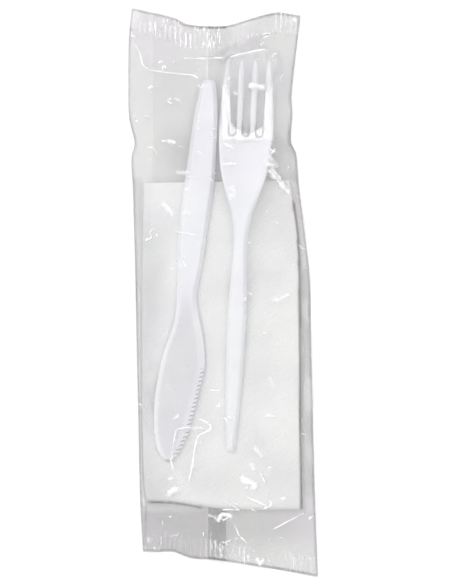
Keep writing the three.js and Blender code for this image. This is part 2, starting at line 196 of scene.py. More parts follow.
film_left = through([
    (-119, -36.7), (-95, -38.0), (-56, -38.9), (-12, -39.9), (17, -40.5), (47, -41.4),
    (62, -42.0), (68.4, -40.6), (79.5, -43.0), (92, -43.4), (105, -43.4), (118, -43.1),
    (130, -41.7),
])
film_right = through([
    (-130, 43.4), (-98, 42.2), (-62, 41.2), (-22, 40.3), (6, 39.7), (29, 37.1),
    (51, 34.5), (64, 33.4), (69, 31.2), (82, 31.7), (90, 31.3), (111, 33.5), (127, 35.4),
])
top_edge = through([
    (0, 130), (0.26, 125.8), (0.32, 123.2), (0.5, 121.9), (0.58, 122.2), (0.81, 127.7),
    (0.88, 128.4), (1, 126.9),
])
bottom_edge = through([
    (0, -118.6), (0.1, -118.8), (0.16, -118.4), (0.28, -121.8), (0.42, -122.4), (1, -130),
])


def napkin_foot(u):
    return lerp(-95.8, -99.3, smooth(u, 0.1, 0.6))


def napkin_head(u):
    return lerp(50.2, 51.5, u)


def in_frame(x, y, end, turn):
    """A point of the pack as seen from a piece's own frame, across it and along it."""
    dx, dy = x - end[0], y - end[1]
    c, s = math.cos(turn), math.sin(turn)
    return dx * c + dy * s, dy * c - dx * s


def place(points, end, turn, z):
    """Points of a piece's own frame, turned and moved into the pack."""
    p = np.asarray(points, float)
    c, s = math.cos(turn), math.sin(turn)
    x, y = p[..., 0], p[..., 1]
    return np.stack([end[0] + c * x - s * y, end[1] + s * x + c * y, z + p[..., 2]], -1)


# ------------------------------------------------------------------ knife
def knife_top(across_spine, across_belly, y):
    """Height of the knife's upper side by distance from its two edges."""
    blade = smooth(y, *NECK)
    handle = np.minimum(KNIFE_T, 0.9 + 1.17 * np.minimum(across_spine, across_belly))
    bevel = 1.15 + 0.45 * np.minimum(across_spine, 1.9)
    face = lerp(bevel, 1.8, smooth(across_spine, 1.7, 2.2))
    edge = 1.15 + 0.55 * smooth(across_belly, 0, 4.2)
    cut = np.minimum(face, edge)
    end = np.minimum(1, np.minimum(0.45 + 0.25 * y, 0.6 + 0.4 * (KNIFE_LENGTH - y)))
    return lerp(handle * end, cut, blade)


def knife_under(y):
    """The blade is thinner than the handle, so its under side stands clear."""
    return 0.62 * smooth(y, *NECK)


def tooth_cut(in_from_edge, y):
    """How deep the saw teeth's slanted grooves are, from 0 to 1."""
    phase = ((y - 0.5 * in_from_edge) / TOOTH_PITCH) % 1
    groove = np.maximum(0, 1 - np.abs(phase - 0.5) / 0.19)
    length = 1 - smooth(in_from_edge, 1.0, 1.7)
    return groove * length * float(SAW[0] < y < SAW[1])


def build_knife():
    """Sections across the knife, joined along it. They are closest over the saw teeth."""
    stations = np.concatenate([
        [0, 0.3, 0.7, 1.1, 1.6, 2.2, 3], np.arange(4, 96, 1.6), np.arange(96, 131, 0.9),
        np.arange(131, 172.6, 0.2), [172.9, 173.4, 173.9, 174.4, 174.8, 175.1, KNIFE_LENGTH],
    ])
    half = np.array([0, 0.12, 0.35, 0.7, 1.1, 1.4, 1.7, 1.95, 2.2, 2.6, 3.2, 3.9, 4.8])
    rings, greys, painted_shades = [], [], []
    for y in stations:
        spine, belly = float(knife_spine(y)), float(knife_belly(y))
        width = spine + belly
        inset = np.minimum(half, half / half[-1] * width * 0.49)
        x = np.concatenate([spine - inset, -belly + inset[::-1]])
        top = knife_top(spine - x, x + belly, y)
        base = float(knife_under(y))
        cut = tooth_cut(x + belly, y)
        top = np.maximum(top - 0.7 * cut, np.minimum(top, base + 0.14))
        belly -= 0.5 * float(cut[-1])
        x[-1] = -belly
        over = np.stack([x, np.full_like(x, y), top], -1)
        upper = [(spine, y, lerp(base, top[0], 0.55)), (spine - 0.06, y, base + 0.06)]
        lower = [(-belly, y, lerp(base, top[-1], 0.55)), (-belly + 0.06, y, base + 0.06)]
        under_x = np.linspace(-belly + KNIFE_WALL, spine - KNIFE_WALL, len(x))
        under = np.stack([under_x, np.full_like(x, y), np.full_like(x, base)], -1)
        rings.append(np.concatenate([upper[::-1], over, lower, under]))
        inside = smooth(spine - rings[-1][:, 0], 1.6, 2.3) * smooth(rings[-1][:, 0] + belly, 2.2, 4.4)
        greys.append(inside * smooth(y, 94, 112))
        # painted shade: the saw's grooves and the knife's tip are painted darker, for the shade in the
        # grooves and the shadow under the tip
        tip = 0.7 * smooth(y, KNIFE_LENGTH - 1.6, KNIFE_LENGTH - 0.4)
        painted_shades.append(np.concatenate([[tip, tip], np.maximum(cut, tip), np.full(2 + len(x), cut[-1])]))
    points = place(np.array(rings), KNIFE_END, KNIFE_TURN, CUTLERY_Z)
    knife = make_mesh("knife_moulding", points, ring_faces(*points.shape[:2]))
    knife.data.set_sharp_from_angle(angle=math.radians(50))
    set_attribute(knife, "thin", np.array(greys))
    set_attribute(knife, "cut", np.array(painted_shades))
    return knife


# ------------------------------------------------------------------ fork
def fork_surface(x, y):
    """Height of the fork's upper side over a point of its own frame."""
    bowl = smooth(y, 104, 132)
    half = fork_half_width(y)
    from_edge = np.maximum(half - np.abs(x), 0)
    handle = np.minimum(FORK_T, 0.8 + 0.78 * from_edge)
    handle *= np.minimum(1, 0.5 + 0.3 * y)
    thin = lerp(1, 0.7, smooth(y, 150, FORK_LENGTH))
    head = np.minimum(1.7, 1.2 + 0.5 * from_edge) * thin
    share = np.clip(x / half, -1, 1)
    curl = FORK_CURL * bowl * share ** 2
    # each tine is crowned, with a low ridge down its middle
    tine = smooth(y, SLOT_START - 6, SLOT_START + 6)
    middle = np.select([x < -SLOT_PITCH, x < 0, x < SLOT_PITCH],
                       [-OUTER_TINE, -0.5 * SLOT_PITCH, 0.5 * SLOT_PITCH], OUTER_TINE)
    off = np.abs(x - middle)
    fillet = 0.5
    slot_x = np.select([x < -SLOT_PITCH / 2, x < SLOT_PITCH / 2], [-SLOT_PITCH, 0], SLOT_PITCH)
    past = np.maximum(SLOT_START + SLOT_W / 2 - y, 0)
    from_slot = np.hypot(x - slot_x, past) - SLOT_W / 2
    in_fillet = np.clip(fillet - from_slot, 0, fillet)
    rounding = fillet - np.sqrt(fillet ** 2 - in_fillet ** 2)
    ridge = 0.35 * np.maximum(0, 1 - off / 0.9) - 0.16 * np.minimum(off, 2.0) ** 2
    thick = lerp(handle, head, bowl) + ridge * tine - 0.8 * rounding
    return fork_rise(y) + curl + np.maximum(thick, 0.5)


def fork_under(x, y):
    bowl = smooth(y, 104, 132)
    share = np.clip(x / fork_half_width(y), -1, 1)
    return fork_rise(y) + FORK_CURL * bowl * share ** 2


def slot_cutter(middle):
    """A prism the shape of one slot, which flares at the tips of the tines."""
    r = SLOT_W / 2
    turn = np.linspace(math.pi, math.tau, 17)
    outline = [(middle + r * math.cos(t), SLOT_START + r + r * math.sin(t)) for t in turn]
    tip = FORK_LENGTH
    outline += [(middle + r, tip - 5), (middle + r + 0.2, tip - 2), (middle + r + 0.7, tip - 0.5),
                (middle + r + 1.1, tip + 2), (middle - r - 1.1, tip + 2),
                (middle - r - 0.7, tip - 0.5), (middle - r - 0.2, tip - 2), (middle - r, tip - 5)]
    n = len(outline)
    points = [(x, y, z) for z in (-12, 12) for x, y in outline]
    faces = [tuple(range(n))[::-1], tuple(range(n, 2 * n))]
    faces += [(i, (i + 1) % n, n + (i + 1) % n, n + i) for i in range(n)]
    mesh = bpy.data.meshes.new("slot")
    mesh.from_pydata([tuple(c * MM for c in p) for p in points], [], faces)
    obj = bpy.data.objects.new("slot", mesh)
    bpy.context.scene.collection.objects.link(obj)
    return obj


def build_fork():
    """The fork's whole outline, with its slots cut out and its edges then softened."""
    stations = np.concatenate([
        [0, 0.3, 0.8, 1.5, 2.3], np.arange(3, 100, 2.0), np.arange(100, FORK_LENGTH - 2, 0.8),
        [FORK_LENGTH - 1.4, FORK_LENGTH - 0.7, FORK_LENGTH],
    ])
    share = np.sin(np.linspace(-0.5, 0.5, 81) * math.pi)
    y = stations[:, None]
    x = fork_half_width(y) * share[None, :]
    y = np.broadcast_to(y, x.shape)
    over = np.stack([x, y, fork_surface(x, y)], -1)
    under = np.stack([x, y, fork_under(x, y)], -1)
    rings = np.concatenate([over, under[:, ::-1]], 1)
    fork = make_mesh("fork_moulding", rings, ring_faces(*rings.shape[:2]))
    cutters = [slot_cutter(k * SLOT_PITCH) for k in (-1, 0, 1)]
    for cutter in cutters:
        cut = fork.modifiers.new("slot", "BOOLEAN")
        cut.operation, cut.object, cut.solver = "DIFFERENCE", cutter, "EXACT"
    remesh = fork.modifiers.new("remesh", "REMESH")
    remesh.mode, remesh.voxel_size = "VOXEL", 0.3 * MM
    relax = fork.modifiers.new("relax", "SMOOTH")
    relax.factor, relax.iterations = 0.5, 5
    apply_modifiers(fork)
    for cutter in cutters:
        bpy.data.objects.remove(cutter)
    mesh = fork.data
    p = np.empty(len(mesh.vertices) * 3)
    mesh.vertices.foreach_get("co", p)
    p = place(p.reshape(-1, 3) / MM, FORK_END, FORK_TURN, CUTLERY_Z) * MM
    mesh.vertices.foreach_set("co", p.ravel())
    mesh.shade_smooth()
    mesh.update()
    return fork


# ------------------------------------------------------------------ napkin
def build_napkin():
    """A square of tissue, folded in half three times. The first fold makes a
    hairpin, which is swept along the line of the other two folds."""
    leaf = 0.3  # thickness of one leaf
    pair = 0.34  # the two leaves of the hairpin, middle to middle
    pitch = 0.72  # one fold of the hairpin to the next
    outer, inner, mid = 1.5 * pitch, 0.5 * pitch, 1.5 * pitch + 0.32
    right = 70.0
    line = []

    def arc(cx, cz, r, start, stop, steps):
        for k in range(steps + 1):
            a = math.radians(lerp(start, stop, k / steps))
            line.append((cx + r * math.cos(a), cz + r * math.sin(a)))

    def run(x0, x1, z, steps):
        for k in range(1, steps):
            line.append((lerp(x0, x1, k / steps), z))

    fold = outer + 0.35
    line.append((right, mid - outer))
    run(right, fold, mid - outer, 24)
    arc(fold, mid, outer, 270, 90, 8)
    run(fold, right - inner - 0.4, mid + outer, 70)
    arc(right - inner - 0.4, mid + pitch, inner, 90, -90, 5)
    run(right - inner - 0.4, fold, mid + inner, 24)
    arc(fold, mid, inner, 90, 270, 5)
    run(fold, right - 0.5, mid - inner, 24)
    line.append((right - 0.5, mid - inner))
    c = np.array(line)
    along = np.gradient(c, axis=0)
    along /= np.linalg.norm(along, axis=1)[:, None]
    normal = np.stack([-along[:, 1], along[:, 0]], -1)

    # the hairpin's closed section: distance off the line, and share of the length
    t = leaf / 2 - 0.02
    steps = 64
    length = NAPKIN_LENGTH
    ys = np.linspace(0, length - 0.6, steps)
    turn = np.radians((-45, 0, 45))
    out = [(pair / 2 + t, y) for y in ys[::-1]]
    back = [(-(pair / 2 + t), y) for y in ys]
    inside = [(-(pair / 2 - t), y) for y in ys[::-1]]
    home = [(pair / 2 - t, y) for y in ys]
    bend_out = [((pair / 2 + t) * math.sin(a), length - 0.6 + 0.6 * math.cos(a)) for a in turn[::-1]]
    bend_in = [((pair / 2 - t) * math.sin(a), length - 0.8 + 0.4 * math.cos(a)) for a in turn]
    first = out[::-1] + bend_out + back[::-1]
    second = inside[::-1] + bend_in + home[::-1]
    hair = np.array(first + second)
    rings = []
    for (px, pz), (nx, nz) in zip(c, normal):
        x = px + nx * hair[:, 0]
        z = pz + nz * hair[:, 0]
        rings.append(np.stack([x, hair[:, 1], z], -1))
    rings = np.array(rings)
    u = rings[..., 0] / right
    y = lerp(napkin_foot(u), napkin_head(u), rings[..., 1] / length)
    x = napkin_left(y) + (napkin_right(y) - napkin_left(y)) * u
    z = NAPKIN_Z + rings[..., 2]
    lift = smooth(rings[..., 2], 0.2, 2.6)
    z = z + lift * (0.12 * ripple(x, y, 22, 5) + 0.05 * ripple(x, y, 7, 6)) - 0.1 * lift
    # the cut edges on the right don't lie quite level with each other
    open_side = smooth(u, 0.93, 1.0)
    x = x + open_side * 0.35 * ripple(y, rings[..., 2] * 30, 40, 8)
    points = np.stack([x, y, z], -1)
    napkin = make_mesh("napkin_folded", points, ring_faces(*points.shape[:2]))
    # painted shade down the napkin's folded left side, fading out towards its head
    painted_fold_shade = 1 - smooth(x + 3 * ripple(x, y, 40, 9), -36, -22)
    set_attribute(napkin, "shaded", painted_fold_shade * (1 - smooth(y, 20, 60)))
    return napkin


# ------------------------------------------------------------------ film
FILM_T = 0.05
FILM_PLY = FILM_T / 2
FRONT_COLUMNS = 114
STATIONS = 344
# Share of the pack's width that each side fold takes.
SIDE_SHARE = 0.5 / 80
# How the front film is relaxed: rounds at each level, and the load of each round.
ROUNDS = 160
SLACK = 0.0008
# How far the front film stays above what it covers.
CLEARANCE = 0.12
# Points of the mesh this close to a crease are brought onto it.
SNAP = 0.4
# How wide a side fold rises over the back, and how far a seal draws the back film up.
SIDE_FOLD = 5.5
SEAL_RUN = 9
# The back film lies this far under the front film in a seal, and one ply of the fin
# this far over the other.
SEAL_GAP = 0.08
FIN_GAP = 0.13
# Where a ring of the film turns the pack's two sides.
RIGHT_SIDE = slice(10, 14)
LEFT_SIDE = slice(12 + FRONT_COLUMNS, 16 + FRONT_COLUMNS)
# The last points of a ring, which make the fin's flap.
FIN_POINTS = 7


def film_place(u, v):
    """The point a share u across the pack and a share v along it."""
    y = lerp(bottom_edge(u), top_edge(u), v)
    return lerp(film_left(y), film_right(y), u), y


def seal_share(u, v):
    """1 in the crimped seals and 0 between them, with the two ends told apart."""
    length = top_edge(u) - bottom_edge(u)
    depth = SEAL_DEPTH / length
    low = 1 - smooth(v, depth - 0.002, depth + 0.004)
    high = smooth(v, 1 - depth - 0.004, 1 - depth + 0.002)
    return low, high


def seal_height(u, high):
    """How the pressed plies wave up and down across the pack."""
    if high:
        return (1.7 + 1.0 * np.sin(math.tau * (1.9 * u + 0.05)) + 0.35 * np.sin(math.tau * (5.7 * u + 0.3))
                + 1.2 * smooth(u, 0.1, 0) + 0.8 * smooth(u, 0.88, 1))
    return (1.2 + 0.7 * np.sin(math.tau * (1.6 * u + 0.4)) + 0.25 * np.sin(math.tau * (4.9 * u + 0.1))
            + 0.8 * smooth(u, 0.9, 1))


def crimp(x, y):
    """Upright ribs of a crimped seal, not pressed equally hard everywhere."""
    depth = 0.5 + 0.5 * np.clip(ripple(x, y, 24, 21), -1, 1)
    return 0.2 * depth * np.sin(math.tau * x / RIB_PITCH + 0.5 * ripple(x, y, 15, 22))


# Where the jaws bit hardest: from and to across the pack, from and to in from the cut edge, and how hard.
# Combed zones have even ribs, scratched ones have crowded strokes, and dotted ones have the ribs broken up.
# These white strokes are partly the pressed film's whitening and partly painted highlights on the crimp's
# ribs.
TOP_BITES = {
    "combed": [(-39, -13, 4, 10.5, 0.95), (24, 35, 0, 8, 0.5)],
    "scratched": [
        (-29, -18, 0.5, 9.5, 0.55), (-13, -1, 0.5, 10.5, 1.0), (27, 33, 0.5, 5, 0.8), (-38, 32, 7, 11, 0.3),
    ],
    "dotted": [(10, 24, 2.5, 9.5, 0.6), (-22, -12, 7, 11, 0.5)],
}
LOW_BITES = {
    "combed": [(-34, -9, 0, 9, 0.12), (-8, 1, 1, 10, 0.5), (29, 41, 0, 9, 0.35)],
    "scratched": [(-36, -27, 1, 8, 0.35), (-6, 0, 1.5, 9, 0.7), (4, 12, 0, 9, 0.6), (31, 41, 1, 9, 0.75)],
    "dotted": [(0, 24, 0.5, 12, 0.75), (-24, -8, 1, 10, 0.1), (-8, -2, 8, 12, 0.5)],
}


# What the film's material reads at each point.
LOOKS = ("creased", "painted_light", "turned", *TOP_BITES)


def bite(x, inward, table):
    """How hard a seal was pressed, from 0 to 1."""
    total = np.zeros(x.shape)
    for start, stop, near, far, strength in table:
        zone = smooth(x, start - 1, start + 1) * (1 - smooth(x, stop - 1, stop + 1))
        zone = zone * smooth(inward, near - 0.5, near + 0.7) * (1 - smooth(inward, far - 2, far + 1))
        total = np.maximum(total, strength * zone)
    return total


def contents_top(x, y):
    """Height of whatever lies in the pack at a point."""
    top = np.full(np.shape(x), 0.3)
    u = np.clip((x + 37) / 72, 0, 1)
    on = (y > napkin_foot(u) - 0.3) & (y < napkin_head(u) + 0.3)
    on = on & (x > napkin_left(y) - 0.3) & (x < napkin_right(y) + 0.5)
    top = np.where(on, NAPKIN_Z + NAPKIN_H + 0.1, top)
    kx, ky = in_frame(x, y, KNIFE_END, KNIFE_TURN)
    spine, belly = knife_spine(ky), knife_belly(ky)
    on = (ky > -0.4) & (ky < KNIFE_LENGTH + 0.4) & (kx > -belly - 0.3) & (kx < spine + 0.3)
    in_from_spine, in_from_belly = np.maximum(spine - kx, 0.05), np.maximum(kx + belly, 0.05)
    height = knife_top(in_from_spine, in_from_belly, np.clip(ky, 0, KNIFE_LENGTH))
    top = np.where(on, np.maximum(top, CUTLERY_Z + height), top)
    fx, fy = in_frame(x, y, FORK_END, FORK_TURN)
    on = (fy > -0.4) & (fy < FORK_LENGTH + 0.4) & (np.abs(fx) < fork_half_width(fy) + 0.3)
    height = fork_surface(fx, np.clip(fy, 0, FORK_LENGTH))
    return np.where(on, np.maximum(top, CUTLERY_Z + height), top)


def stretched(fixed, free, least, rounds, load):
    """Heights of a slack skin that hangs between fixed points and over what is under
    it, relaxed on a coarse grid first and then on finer ones."""
    z = None
    for step in (8, 4, 2, 1):
        f, m, l = fixed[::step, ::step], free[::step, ::step], least[::step, ::step]
        if z is None:
            z = np.where(m, np.maximum(l, 3.0), f)
        else:
            z = np.repeat(np.repeat(z, 2, 0), 2, 1)[:f.shape[0], :f.shape[1]]
            pad = [(0, f.shape[0] - z.shape[0]), (0, f.shape[1] - z.shape[1])]
            z = np.pad(z, pad, mode="edge")
        for _ in range(rounds):
            z = np.where(m, z, f)
            mean = z.copy()
            mean[1:-1, 1:-1] = 0.25 * (z[:-2, 1:-1] + z[2:, 1:-1] + z[1:-1, :-2] + z[1:-1, 2:])
            z = np.where(m, np.maximum(mean - load * step * step, l), f)
    return z


def spread(a, reach):
    """The largest value near each point."""
    for _ in range(reach):
        p = np.pad(a, 1, mode="edge")
        a = np.maximum.reduce([p[1:-1, 1:-1], p[:-2, 1:-1], p[2:, 1:-1], p[1:-1, :-2], p[1:-1, 2:]])
    return a


def nearest_on(x, y, points):
    """Distance to a line of points, the nearest place on it, how far that is from the
    line's ends, and the line's length."""
    pts = np.array(points, float)
    best = np.full(x.shape, 1e9)
    at_x, at_y, along = np.zeros(x.shape), np.zeros(x.shape), np.zeros(x.shape)
    gone = 0.0
    for a, b in zip(pts[:-1], pts[1:]):
        n = float(np.hypot(*(b - a)))
        d = (b - a) / n
        t = np.clip((x - a[0]) * d[0] + (y - a[1]) * d[1], 0, n)
        px, py = a[0] + t * d[0], a[1] + t * d[1]
        dist = np.hypot(x - px, y - py)
        near = dist < best
        best = np.where(near, dist, best)
        at_x, at_y = np.where(near, px, at_x), np.where(near, py, at_y)
        along = np.where(near, gone + t, along)
        gone += n
    return best, at_x, at_y, np.minimum(along, gone - along), gone


def around(x, y, points, reach):
    """Which points lie near a line's box."""
    pts = np.array(points, float)
    low, high = pts.min(0) - reach, pts.max(0) + reach
    return (x > low[0]) & (x < high[0]) & (y > low[1]) & (y < high[1])


def snap_to_crease(x, y, points):
    """Brings the points of the mesh that are close to a crease onto its crest."""
    box = around(x, y, points, 1)
    px, py = x[box], y[box]
    best, at_x, at_y, _, _ = nearest_on(px, py, points)
    near = best < SNAP
    x[box] = np.where(near, lerp(px, at_x, 0.92), px)
    y[box] = np.where(near, lerp(py, at_y, 0.92), py)


def add_crease(z, bruise_and_glint, x, y, points, height, width):
    """A sharp fold in the film along a line of points, fading at its two ends."""
    box = around(x, y, points, 3 * width)
    best, _, _, ends, total = nearest_on(x[box], y[box], points)
    fade = 0.35 + 0.65 * smooth(ends, 0, min(3.0, 0.3 * total))
    ridge = fade * np.maximum(0, 1 - best / width)
    z[box] += height * ridge
    broken = np.clip(0.88 + 0.3 * ripple(x[box], y[box], 8, 51), 0.5, 1)
    # the crease's whitening is partly its bruise and partly a painted highlight along it
    bruise_and_glint[box] = np.maximum(bruise_and_glint[box], min(1, height / 0.35) * fade * broken * np.maximum(0, 1 - best / 0.7))


def add_glare(painted_light, x, y, points, width, strength):
    """A painted highlight: a soft white streak with a ragged edge."""
    best = nearest_on(x, y, points)[0]
    best = best + 0.16 * width * ripple(x, y, 3.2, 41) + 0.1 * width * ripple(x, y, 1.8, 42)
    amount = strength * (1 - smooth(best, 0.2 * width, width))
    np.maximum(painted_light, amount, out=painted_light)
    return best


def slot_outline(middle):
    """The end of one slot in the fork, from above."""
    r = SLOT_W / 2
    turn = np.linspace(math.pi, math.tau, 9)
    line = [(middle - r, SLOT_START + r + 5, 0)]
    line += [(middle + r * math.cos(t), SLOT_START + r + r * math.sin(t), 0) for t in turn]
    line += [(middle + r, SLOT_START + r + 5, 0)]
    return [tuple(p) for p in place(line, FORK_END, FORK_TURN, 0)[:, :2]]


def slot_glare(x, y):
    """A painted highlight round the slots of the fork, in a wide U."""
    off = np.abs(x - FORK_HEAD[0])
    tine = smooth(off, 7.8, 8.4)
    rim = 72.8 + 4.6 * (off / 7.7) ** 2 + 12 * tine
    inside = smooth(rim - y + 0.5 * ripple(x * 2, y * 0.5, 4, 43), -0.6 - 5 * tine, 0.8 + 3 * tine)
    inside = inside * smooth(y + 0.3 * ripple(x, y, 5, 44), 68.6, 70.8)
    return inside * (1 - smooth(off, 10.9, 12)) * (0.85 + 0.15 * ripple(x * 2.2, y * 0.3, 3, 45))


def add_swell(z, x, y, middle, radii, height, turn):
    """A soft rounded rise in the film."""
    c, s = math.cos(math.radians(turn)), math.sin(math.radians(turn))
    dx, dy = x - middle[0], y - middle[1]
    a = (dx * c + dy * s) / radii[0]
    b = (dy * c - dx * s) / radii[1]
    z += height * np.exp(-(a * a + b * b))


# Folds in the front film: points, height and half width.
CREASES = [
    # round the top left, where the tube flattens into its seal
    ([(-41.6, 118.7), (-39.8, 112.8), (-38, 109.6), (-37, 104.6), (-33.9, 101.8), (-23.4, 100.4),
      (-13.8, 99.5), (-10.1, 97.2)], 0.8, 1.3),
    ([(-19.3, 107.3), (-1, 107.3), (0.9, 105.9)], 0.6, 1.1),
    # over the fork's tips
    ([(2.1, 105), (3.8, 107.7), (8.2, 108.9), (13.7, 110.2), (21.4, 111.6)], 0.7, 1.2),
    ([(26, 110), (22.1, 108.2), (22.8, 105)], 0.8, 1.1),
    # in the top seal
    ([(15.5, 118.1), (19, 118.4), (23.3, 119.3)], 0.5, 0.9),
    ([(16.9, 116.2), (20, 117.3), (23.3, 119.3)], 0.5, 0.9),
    ([(6, 117), (10, 117.1)], 0.35, 0.8),
    ([(14.4, 105.7), (17.8, 106.6)], 0.5, 0.9),
    # short marks on the left, above the napkin
    ([(-36.9, 81.3), (-33, 80.1)], 0.5, 0.9),
    ([(-28.8, 69.4), (-25.6, 69.4)], 0.6, 0.9),
    ([(-25.2, 69.4), (-21.5, 67.9)], 0.8, 1.2),
    ([(-21, 67.5), (-18.3, 66)], 0.6, 0.9),
    ([(-20.6, 67.9), (-15.1, 73.9)], 0.35, 0.9),
    # over the knife's handle and the fork's bowl
    ([(-6.9, 74.5), (-2.8, 74.5)], 0.6, 0.8),
    ([(0.9, 67.9), (4.5, 66.1)], 0.6, 0.9),
    ([(-0.5, 58.8), (5.4, 58.8)], 0.55, 0.9),
    ([(19.2, 66.9), (24.7, 63.5)], 0.7, 1.0),
    ([(24.2, 66.5), (21, 62)], 0.6, 0.9),
    ([(19.2, 58.8), (23.7, 57.9)], 0.5, 1.2),
    ([(21.9, 55.6), (25.6, 51.8), (30.1, 46)], 0.7, 2.0),
    ([(-22, 54.6), (-17, 55.4), (-12, 53), (-13.5, 51.6), (-20, 52.6)], 0.3, 0.8),
    ([(2.3, 50.2), (6.8, 44.6)], 0.35, 1.0),
    ([(3.6, 45.4), (6.3, 42.8)], 0.35, 0.9),
    ([(-29.8, 41.9), (-27.5, 39.6), (-22.4, 34.2)], 0.4, 1.0),
    ([(-21.5, 40.6), (-26.5, 35.9)], 0.35, 0.9),
    ([(-22.4, 29.6), (-20.2, 27.5), (-12.2, 26.4), (-6.4, 25)], 0.45, 0.9),
    ([(12.8, 25.5), (22.8, 22.3)], 0.3, 0.9),
    ([(9.1, 5.4), (12.8, 4), (18.7, -0.1)], 0.35, 0.9),
    ([(-36.2, 4.9), (-32.9, 2.5)], 0.3, 0.8),
    ([(-36.1, 2.6), (-32.7, 4.9)], 0.3, 0.8),
    # the two long folds over the blade
    ([(-7.8, -61.8), (-17.6, -61.7), (-21.3, -62.3), (-22.1, -65.9), (-22.9, -69.8), (-23.1, -74.6),
      (-24, -76.4), (-22.3, -82.1)], 0.55, 0.85),
    ([(-12.1, -56.8), (-6.9, -59.5), (-5.7, -60.6), (-5.7, -62), (-6.6, -63), (-11, -65), (-11.9, -66.4),
      (-12.6, -69.1), (-13.3, -72.8), (-13.9, -77.8), (-15, -83.3), (-16, -87.6)], 0.6, 0.95),
    ([(-0.2, -56.3), (2.7, -59.5)], 0.5, 0.8),
    ([(1.7, -56.3), (4.8, -57.5)], 0.5, 0.8),
    ([(-1.9, -58.8), (0.1, -62.7)], 0.5, 0.8),
    # the star of folds at the lower right
    ([(16.4, -80.8), (20.8, -90.6), (19.6, -92.7), (22.3, -96.4), (20.8, -98.2), (14.1, -99.7),
      (10.9, -97.3)], 0.6, 0.95),
    ([(8.6, -92.4), (20.8, -97.9)], 0.6, 0.9),
    ([(-0.3, -94.3), (7.3, -99.3), (-1.9, -99.1)], 0.6, 0.9),
    ([(-3.2, -101.6), (0.2, -104.1), (3.6, -101.9)], 0.7, 1.0),
    # under the napkin, down to the bottom seal
    ([(-35.5, -95.6), (-35.8, -106), (-36.2, -117.5)], 0.35, 0.8),
    ([(37.9, -100.2), (21, -109.3)], 0.6, 1.0),
    ([(4.4, -104), (7.2, -111.1), (12.3, -115.9)], 0.7, 1.0),
    ([(-1.9, -113.7), (0.9, -114.3), (4.4, -113)], 0.5, 0.9),
    ([(0.9, -114.4), (3.3, -116.8)], 0.5, 0.9),
    ([(32.2, -120.8), (32.1, -127.2)], 0.6, 0.9),
    ([(39, -125), (39.6, -128), (40.9, -127.6)], 0.5, 0.8),
    ([(7.9, -107.5), (10.7, -109.3)], 0.4, 0.8),
    ([(17.3, -111.6), (21.9, -114.4)], 0.4, 0.8),
    ([(20.1, -110.3), (22.3, -115.1)], 0.4, 0.8),
    ([(23.3, -111.2), (29.2, -113)], 0.35, 0.8),
]

# Soft rises in the front film: middle, radii, height and turn.
SWELLS = [
    ((15.3, 94.1), (3.6, 1.4), 0.8, 5),
    ((5.7, 91), (1.4, 1.4), 0.6, 0),
    ((-37.1, 103.1), (1.6, 1.2), 0.6, 0),
    ((4.6, 46.6), (3.2, 3.6), 0.5, 30),
    ((4.9, 42.4), (2, 2), 0.4, 0),
    ((-16.6, 36.4), (1.5, 1.2), 0.4, 0),
    ((25.9, -1.7), (4, 2), 0.5, -20),
    ((-24, -85.2), (1.5, 1.5), 0.5, 0),
    ((-7, 4.3), (1.5, 1.5), 0.2, 0),
    ((21, -56.4), (2.2, 1.5), 0.5, -10),
    ((16.5, -72.4), (3.6, 1.8), 0.6, -40),
    ((11.5, -86.2), (3.4, 2.4), 0.9, 15),
    ((13.7, -79.2), (1.6, 2.4), 0.6, 20),
    ((-22.8, -90.2), (3.4, 1.6), 0.7, 15),
    ((27.6, -94.2), (1.8, 1.4), 0.7, 0),
    ((23.2, -40.8), (1.6, 3), 0.3, 0),
]


# Lines of painted shadow, where the film turns down beside the napkin and round the ends of the fork's
# slots: points, half width and strength.
SHADES = [
    ([(35.8, -99.2), (35.4, -67), (35.2, -40), (35.1, -12), (34.8, 12), (34.1, 26), (33.2, 34),
      (31.9, 42)], 0.62, 0.85),
    ([(-35, -95.9), (-24, -96), (-16, -97.2), (-9, -98.6)], 0.7, 0.7),
    ([(-35.2, -96), (-35.6, -106), (-36, -117)], 0.7, 0.3),
] + [(slot_outline(k * SLOT_PITCH), 0.6, 0.36) for k in (-1, 0, 1)]

# Patches of painted shade, where the film looks greyer: middle, size across and along, and strength.
PAINTED_SHADE_PATCHES = [
    ((-20, 64), (10, 14), 0.235), ((-24, 92), (12, 18), 0.105), ((12, -108), (34, 9), 0.25),
    ((-3, -108), (5, 9), 0.22), ((30, 66), (4, 12), 0.08), ((0, -86), (28, 9), 0.15),
]
